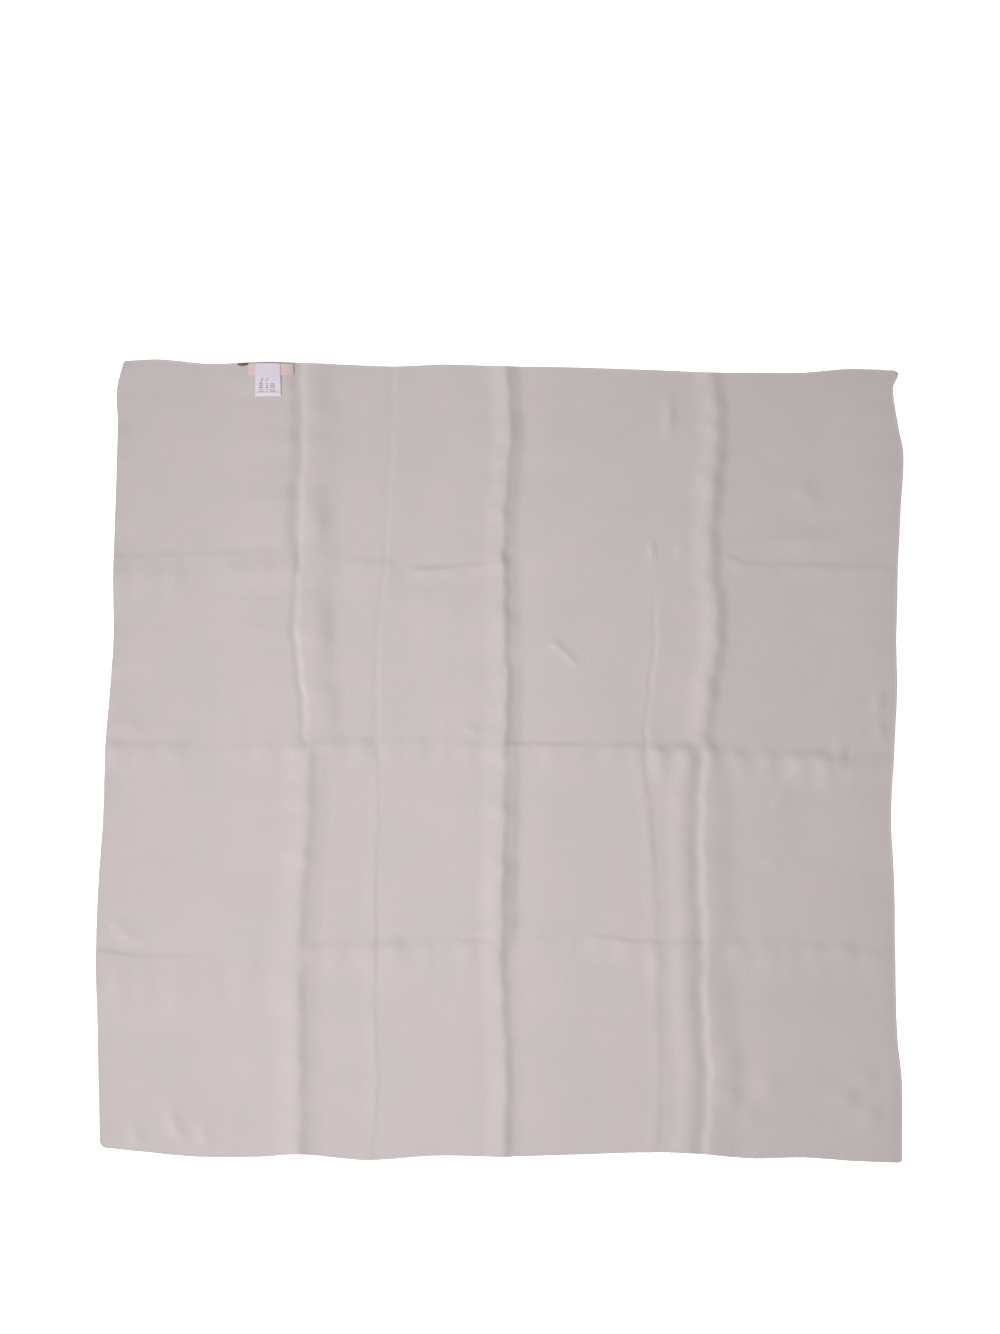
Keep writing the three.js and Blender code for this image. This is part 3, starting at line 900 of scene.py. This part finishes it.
@dataclass
class SilkPanel:
    """The one square of silk, with its press folds and small creases, in millimetres.

    The rim is a narrow row of faces under the hem, so that the turn over the cut edge shades no more.
    The lines stand at the fine step beside a fold, and widen to the coarse one. The short crease in the
    middle of the cloth has its own place, across and up, and its own steps.
    """

    rim: float = 0.4
    inside_rim: float = 2.5
    fine: float = 1.7
    coarse: float = 5.6
    growth: float = 0.11
    crease: Pair = (517, 557)
    crease_step: Pair = (3.2, 3.0)

    def grid_lines(self) -> tuple[np.ndarray, np.ndarray]:
        """Place the grid lines across and up the cut."""
        rim, inner = PANEL_INSET, PANEL_INSET + self.rim
        edge = [(rim, self.rim), (inner, self.inside_rim)]
        far_edge = [(CUT - inner, self.inside_rim), (CUT - rim, self.rim)]
        quarter, middle, last = ((part * QUARTER, self.fine) for part in (1, 2, 3))
        crease_across, crease_up = zip(self.crease, self.crease_step)
        across = [*edge, quarter, (SOFT_LEFT, self.fine), middle, crease_across, (SOFT_RIGHT, self.fine)]
        across += [last, *far_edge]
        up = [*edge, quarter, middle, crease_up, last, *far_edge]
        return graded_lines(across, self.coarse, self.growth), graded_lines(up, self.coarse, self.growth)

    def build(self, plan: ClothPlan, silk: Material) -> Piece:
        """Lay the sheet out and give it its thickness.

        Args:
            plan: The cloth's shape.
            silk: The silk finish.

        Returns:
            The panel.
        """
        lines_across, lines_up = self.grid_lines()
        logging.info("panel grid: %d by %d lines", len(lines_across), len(lines_up))
        across, up = np.meshgrid(lines_across, lines_up, indexing="ij")
        grid = ClothGrid("silk_sheet", plan.points(across, up), np.stack([across, up], axis=-1))
        panel = grid.build(silk)
        thicken(panel, SILK_THICKNESS)
        return panel


class Edge(Enum):
    """The four hemmed edges of the square."""

    BOTTOM = "bottom"
    TOP = "top"
    LEFT = "left"
    RIGHT = "right"

    def place(self, along: np.ndarray, inward: np.ndarray) -> tuple[np.ndarray, np.ndarray]:
        """Turn distances along the edge and in from it into places on the cut.

        Args:
            along: Distances along the edge.
            inward: Distances in from the edge.

        Returns:
            The places across and up.
        """
        match self:
            case Edge.BOTTOM:
                return along, inward
            case Edge.TOP:
                return along, CUT - inward
            case Edge.LEFT:
                return inward, along
            case _:
                return CUT - inward, along


@dataclass
class RolledHem:
    """A hand-rolled hem along one edge, pressed flat and pinched a little at each slip stitch, in mm.

    The outer side is full and round, and the inner one runs out thin onto the panel. The side hems stand
    clear of the bottom and top ones.
    """

    edge: Edge
    sides: int = 16
    step: float = 2.1
    pinch: float = 0.05
    outer_fullness: float = 0.35
    inner_taper: float = 2.6
    corner_gap: float = 0.1

    def stations(self) -> np.ndarray:
        """Space the sections evenly along the edge."""
        start = 0.0 if self.edge in (Edge.BOTTOM, Edge.TOP) else HEM_WIDTH + self.corner_gap
        return np.linspace(start, CUT - start, round((CUT - 2 * start) / self.step) + 1)

    def build(self, plan: ClothPlan, silk: Material) -> Piece:
        """Sweep the roll along the edge and close its ends.

        Args:
            plan: The cloth's shape.
            silk: The silk finish.

        Returns:
            The roll.
        """
        stations = self.stations()
        turn = np.arange(self.sides) / self.sides * 2 * math.pi
        along, angle = np.meshgrid(stations, turn, indexing="ij")
        plump = 1 - self.pinch * np.cos(2 * math.pi * along / STITCH_SPACING)
        plump += add_waves(along, ROLL_IS_PLUMP)
        inward = HEM_WIDTH * (0.5 - 0.5 * np.cos(angle) * plump)
        power = np.where(np.cos(angle) > 0, self.outer_fullness, self.inner_taper)
        raised = HEM_HEIGHT * plump * np.maximum(np.sin(angle), 0) ** power
        across, up = self.edge.place(along, inward)
        middle_across, middle_up = self.edge.place(along, np.full_like(along, HEM_WIDTH / 2))
        points = plan.points(across, up)
        points[..., 2] = (plan.lift(middle_across, middle_up) + raised) * MM
        flat = np.stack([along, angle / 2 * HEM_WIDTH], axis=-1)
        roll = ClothGrid(f"hem_roll_{self.edge.value}", points, flat, around=True).build(silk)
        close_ends(roll)
        return roll


@dataclass
class Stitches:
    """Short stitches of one thread, joined as one piece, in millimetres on the cut.

    Bedded is the share of its radius that the thread's middle stands off the cloth. Each stitch has a
    ring at each of the shares of its run, with its own share of the radius and its own dip.
    """

    name: str
    radius: float
    bedded: float = 0.3
    sides: int = 6
    run: tuple[float, ...] = (0, 0.2, 0.8, 1)
    plump: tuple[float, ...] = (0.4, 1, 1, 0.4)
    dip: tuple[float, ...] = (-0.8, 0, 0, -0.8)

    def build(
        self, plan: ClothPlan, starts: np.ndarray, ends: np.ndarray, thread: Material
    ) -> Piece:
        """Lay a thin tube for each stitch, thinner where it dips into the cloth.

        Args:
            plan: The cloth's shape.
            starts: The place of each start, across and up.
            ends: The place of each end, across and up.
            thread: The thread's finish.

        Returns:
            The stitches.
        """
        run, plump, dip = np.array(self.run), np.array(self.plump), np.array(self.dip)
        angle = np.arange(self.sides) / self.sides * 2 * math.pi
        way = ends - starts
        way = way / np.linalg.norm(way, axis=1, keepdims=True)
        middle = starts[:, None] + (ends - starts)[:, None] * run[:, None]
        aside = self.radius * plump[:, None] * np.cos(angle)
        across = middle[..., 0, None] - way[:, 1, None, None] * aside
        up = middle[..., 1, None] + way[:, 0, None, None] * aside
        height = self.radius * (self.bedded + dip[:, None] + plump[:, None] * np.sin(angle))
        from_edge = np.minimum(np.minimum(across, CUT - across), np.minimum(up, CUT - up))
        height = height + SILK_THICKNESS + HEM_HEIGHT * (1 - smooth_step(from_edge, HEM_WIDTH / 2, HEM_WIDTH))
        points = plan.points(across, up, height)
        row = ClothGrid(self.name, points, np.stack([across, up], axis=-1), around=True).build(thread)
        close_ends(row)
        return row


@dataclass
class SlipStitching:
    """The row of small slanting stitches that holds one rolled hem down, in millimetres."""

    edge: Edge
    from_roll: float = 0.5
    length: float = 1.5
    slant: float = 0.7
    radius: float = 0.15

    def build(self, plan: ClothPlan, thread: Material) -> Piece:
        """Sew the row, each stitch a little uneven.

        Args:
            plan: The cloth's shape.
            thread: The thread's finish.

        Returns:
            The row.
        """
        along = np.arange(STITCH_SPACING, CUT - STITCH_SPACING / 2, STITCH_SPACING)
        along = along + add_waves(along, STITCH_DRIFTS)
        inward = HEM_WIDTH - self.from_roll + add_waves(along, STITCH_DEPTHS)
        starts = np.stack(self.edge.place(along, inward), axis=-1)
        ends = np.stack(self.edge.place(along + self.slant, inward + self.length), axis=-1)
        return Stitches(f"slip_stitches_{self.edge.value}", self.radius).build(plan, starts, ends, thread)


@dataclass
class TapeTacksShadowDark:
    """The dark thread that tacks the tape down at its two ends, in millimetres on the cut.

    A knot of strands lies at its left end and a row of stitches at its right one. Their dark colour is
    painted shadow: it stands for the shade under the tape's lifted ends. Down is measured from the top
    edge. Each strand bends at its own place in the middle of the knot, and its tips lie closer together
    and further in than those of the middle strand.
    """

    knot_left: float = 146
    knot_right: float = 161.5
    knot_down: float = 2.3
    knot_half_height: float = 2.0
    knot_sway: float = 2.4
    sway_turns: float = 9
    strands: int = 8
    tip_rise: float = 0.6
    tip_spread: float = 0.9
    tip_inset: Pair = (1.5, 1.2)
    row_across: float = 219.2
    row_down: float = 1.5
    row_stitch: float = 1.7
    row_gap: float = 0.35
    row_lean: float = 0.25
    row_stitches: int = 5
    radius: float = 0.27

    def build(self, plan: ClothPlan, thread: Material) -> Piece:
        """Lay the strands of the knot and the stitches of the row.

        Args:
            plan: The cloth's shape.
            thread: The thread's finish, whose dark colour is painted shadow.

        Returns:
            The tacks.
        """
        share = np.linspace(-1, 1, self.strands)
        middle_across = (self.knot_left + self.knot_right) / 2
        middle_across = middle_across + self.knot_sway * np.sin(self.sway_turns * share)
        middle_down = self.knot_down + self.knot_half_height * share
        tip_down = self.knot_down - self.tip_rise + self.tip_spread * share
        left = np.stack([self.knot_left + self.tip_inset[0] * np.abs(share), CUT - tip_down], axis=-1)
        right = np.stack([self.knot_right - self.tip_inset[1] * np.abs(share), CUT - tip_down], axis=-1)
        middle = np.stack([middle_across, CUT - middle_down], axis=-1)
        top = CUT - self.row_down - np.arange(self.row_stitches) * (self.row_stitch + self.row_gap)
        row_starts = np.stack([np.full_like(top, self.row_across), top], axis=-1)
        row_ends = row_starts + np.array([self.row_lean, -self.row_stitch])
        starts = np.concatenate([left, middle, row_starts])
        ends = np.concatenate([middle, right, row_ends])
        return Stitches("tape_tacks_painted_shadow", self.radius).build(plan, starts, ends, thread)


@dataclass(frozen=True)
class Mark:
    """One printed bar of a label, in millimetres from its left and top edges."""

    left: float
    top: float
    width: float
    height: float
    slant: float = 0
    strength: float = 1


# Columns: left, top, width, height, slant and strength. The print is plain bars that stand for no words.
PRINTED_MARKS = rows(
    Mark,
    (8.4, 17.6, 2.0, 5.2, -0.5, 0.75),
    (15.6, 17.0, 2.2, 2.6, -1.1, 0.6),
    (13.4, 19.8, 1.6, 2.0, 0, 0.45),
    (4.7, 23.4, 5.0, 1.3),
    (5.0, 25.6, 4.6, 1.3),
    (4.7, 27.8, 5.0, 1.2),
    (13.0, 23.6, 3.4, 1.2),
    (13.2, 25.8, 3.0, 1.2),
    (13.0, 27.9, 3.4, 1.1),
    (18.6, 23.5, 5.6, 1.2),
    (18.8, 25.7, 5.2, 1.3),
    (18.6, 27.8, 5.8, 1.1),
    (4.2, 30.5, 7.6, 0.9, 0, 0.8),
    (4.2, 32.2, 7.0, 0.9, 0, 0.8),
    (13.6, 30.6, 2.4, 0.9, 0, 0.8),
    (13.6, 32.3, 2.0, 0.9, 0, 0.7),
    (17.8, 30.5, 8.0, 0.9, 0, 0.8),
    (17.8, 32.2, 7.2, 0.9, 0, 0.8),
)


@dataclass
class SewnLabel:
    """A small label laid on the panel at its top edge, in millimetres on the cut.

    Left and right are across from the left edge, top and bottom down from the top edge. Height is how
    far its underside stands off the cloth's, at its sewn top and at its free lower end. End fold is how
    far the turned end of the label stands up: it rises and falls again between these distances from
    the label's end.
    """

    name: str
    left: float
    right: float
    top: float
    bottom: float
    height: Pair
    bow: float
    thickness: float
    end_fold: float = 0
    end_rises: Pair = (-2.5, 4.2)
    end_falls: Pair = (4.2, 5.4)
    marks: tuple[Mark, ...] = ()
    step: float = 0.45

    def ink(self, from_left: np.ndarray, from_top: np.ndarray) -> np.ndarray:
        """Work out how much ink lies at each place of the label, from 0 to 1."""
        ink = np.zeros_like(from_left)
        for mark in self.marks:
            y = from_top - mark.top
            x = from_left - mark.left - mark.slant * y
            inside = (x >= 0) & (x <= mark.width) & (y >= 0) & (y <= mark.height)
            ink = np.maximum(ink, inside * mark.strength)
        return ink

    def build(self, plan: ClothPlan, finish: Material) -> Piece:
        """Make the label from the panel's points, moved out.

        Args:
            plan: The cloth's shape.
            finish: The label's finish.

        Returns:
            The label.
        """
        across_lines = np.linspace(self.left, self.right, round((self.right - self.left) / self.step) + 1)
        down_lines = np.linspace(self.bottom, self.top, round((self.bottom - self.top) / self.step) + 1)
        across, down = np.meshgrid(across_lines, down_lines, indexing="ij")
        t = (down - self.top) / (self.bottom - self.top)
        s = (across - self.left) / (self.right - self.left)
        raised = self.height[0] + (self.height[1] - self.height[0]) * t * t
        raised += self.bow * 4 * s * (1 - s)
        from_end = self.bottom - down
        turned_end = smooth_step(from_end, *self.end_rises) * (1 - smooth_step(from_end, *self.end_falls))
        raised += self.end_fold * turned_end
        points = plan.points(across, CUT - down, raised)
        flat = np.stack([across - self.left, from_end], axis=-1)
        label = ClothGrid(self.name, points, flat).build(finish)
        printed = label.data.attributes.new("ink", "FLOAT", "POINT")
        printed.data.foreach_set("value", self.ink(across - self.left, down - self.top).ravel())
        thicken(label, self.thickness)
        return label


TAPE_LABEL = SewnLabel(
    "bare_tape", left=161, right=218, top=1.6, bottom=15.5, height=(0.35, 0.35), bow=0.5, thickness=0.35
)
CARE_LABEL = SewnLabel(
    "satin_label", left=170, right=201.5, top=1.6, bottom=40, height=(1.35, 0.4), bow=0.3, thickness=0.2,
    end_fold=0.5, marks=PRINTED_MARKS,
)


@dataclass(frozen=True)
class Lamp:
    """One soft light, with its place, the place that it points at and its size in millimetres.

    Turn is in degrees about the line that it points along.
    """

    name: str
    place: Place
    aim: Place
    size: Pair
    watts: float
    turn: float = 0

    def build(self) -> None:
        """Hang the light and point it at the cloth, out of the camera's sight."""
        away = Vector(self.place) - Vector(self.aim)
        deselect_all()
        bpy.ops.object.light_add(type="AREA", location=Vector(self.place) * MM)
        lamp = bpy.context.object
        lamp.name = self.name
        lamp.data.shape = "ELLIPSE"
        lamp.data.size = self.size[0] * MM
        lamp.data.size_y = self.size[1] * MM
        lamp.data.energy = self.watts
        spin = Quaternion((0, 0, 1), math.radians(self.turn))
        lamp.rotation_euler = (away.to_track_quat("Z", "Y") @ spin).to_euler()
        lamp.visible_camera = False


@dataclass
class Studio:
    """The pale table, the soft light and the overhead camera, in millimetres."""

    pixel: float = 1.14
    frame_height: float = 1334
    camera_height: float = 2600
    camera_across: float = 0.7
    camera_up: float = 107.2
    sensor: float = 36
    key: Lamp = Lamp("soft_key_light", (-7000, -4000, 4300), (0, 0, 0), (2800, 2800), 640)
    over: Lamp = Lamp("long_top_light", (-175, -180, 1250), (-175, -180, 0), (450, 2000), 8.4, turn=-8)
    sky: float = 0.3
    table_size: float = 9000
    table_drop: float = 0.05
    table_glow: float = 0.6

    def build(self) -> None:
        """Set the table, the light, the sky and the camera."""
        self.table()
        self.key.build()
        self.over.build()
        self.backdrop()
        self.camera()
        bpy.context.scene.view_settings.view_transform = "Standard"

    def table(self) -> None:
        """Lay a pale table under the cloth, bright enough to show plain white."""
        deselect_all()
        bpy.ops.mesh.primitive_plane_add(size=self.table_size * MM, location=(0, 0, -self.table_drop * MM))
        table = bpy.context.object
        table.name = "pale_table"
        material, tree, output = new_material("white_painted_board")
        shader = add_node(
            tree, "ShaderNodeBsdfPrincipled",
            values={
                "Base Color": linear("#FFFFFF"), "Roughness": 0.9,
                "Emission Color": linear("#FFFFFF"), "Emission Strength": self.table_glow,
            },
        )
        tree.links.new(shader.outputs["BSDF"], output.inputs["Surface"])
        table.data.materials.append(material)

    def backdrop(self) -> None:
        """Fill the room with even white light."""
        world = bpy.data.worlds.new("even_room")
        world.use_nodes = True
        bpy.context.scene.world = world
        background = world.node_tree.nodes["Background"]
        background.inputs["Color"].default_value = linear("#FFFFFF")
        background.inputs["Strength"].default_value = self.sky

    def camera(self) -> None:
        """Look straight down from above, with the cloth low in the frame as in the photo."""
        deselect_all()
        place = Vector((self.camera_across, self.camera_up, self.camera_height)) * MM
        bpy.ops.object.camera_add(location=place, rotation=(0, 0, 0))
        camera = bpy.context.object
        camera.name = "overhead_camera"
        camera.data.sensor_width = self.sensor
        camera.data.lens = self.sensor * self.camera_height / (self.frame_height * self.pixel)
        bpy.context.scene.camera = camera


SILK = SilkFinish()
HEM_SILK = SilkFinish(name="light_silk_hand_rolled", thread="#C4B9B9", thread_deep="#C0B6B6", mottle=30)
TAPE = PlainFinish("cotton_tape_woven", "#DBC5C0", "#CFB8B2", 0.75, 0.8, 0.12)
SATIN = PlainFinish("polyester_satin_woven", "#DBD0DC", "#D4C9D4", 0.42, 0.6, 0.05, ink="#8E889C")
HEM_THREAD = PlainFinish("silk_thread_twisted", "#D2C9C8", "#C6BCBB", 0.55, 0.3, 0.03)
# The tack thread's dark colour is painted shadow, for the shade under the tape's lifted ends.
TACK_THREAD_SHADOW_DARK = PlainFinish("polyester_thread_dark_as_painted_shadow", "#6A625E", "#554E4B", 0.6, 0.3, 0.03)


def hand_over(piece: Piece, node: str = "") -> Piece:
    """Put a piece on the scarf's body and report it.

    Args:
        piece: The finished piece.
        node: The solid that it stands for, if it stands for one.

    Returns:
        The piece.
    """
    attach(piece, BODY)
    if node:
        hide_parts(node)
    logging.info("%s: %d faces", piece.name, len(piece.data.polygons))
    return piece


def main() -> None:
    """Build the scarf, dress it, and set the table, light and camera."""
    logging.basicConfig(level=logging.INFO, format="%(message)s")
    plan = ClothPlan()
    silk, hem_silk = SILK.make(), HEM_SILK.make()

    panel = hand_over(SilkPanel().build(plan, silk), "silk_panel")
    hems = [
        hand_over(RolledHem(edge).build(plan, hem_silk), f"hem_{edge.value}") for edge in Edge
    ]
    thread = HEM_THREAD.make()
    for edge in Edge:
        hand_over(SlipStitching(edge).build(plan, thread))
    # The dark tack thread at the tape's ends is painted shadow.
    hand_over(TapeTacksShadowDark().build(plan, TACK_THREAD_SHADOW_DARK.make()))
    tape = hand_over(TAPE_LABEL.build(plan, TAPE.make()), "label_tape")
    care = hand_over(CARE_LABEL.build(plan, SATIN.make()), "care_label")

    Studio().build()


if __name__ == "__main__":
    main()
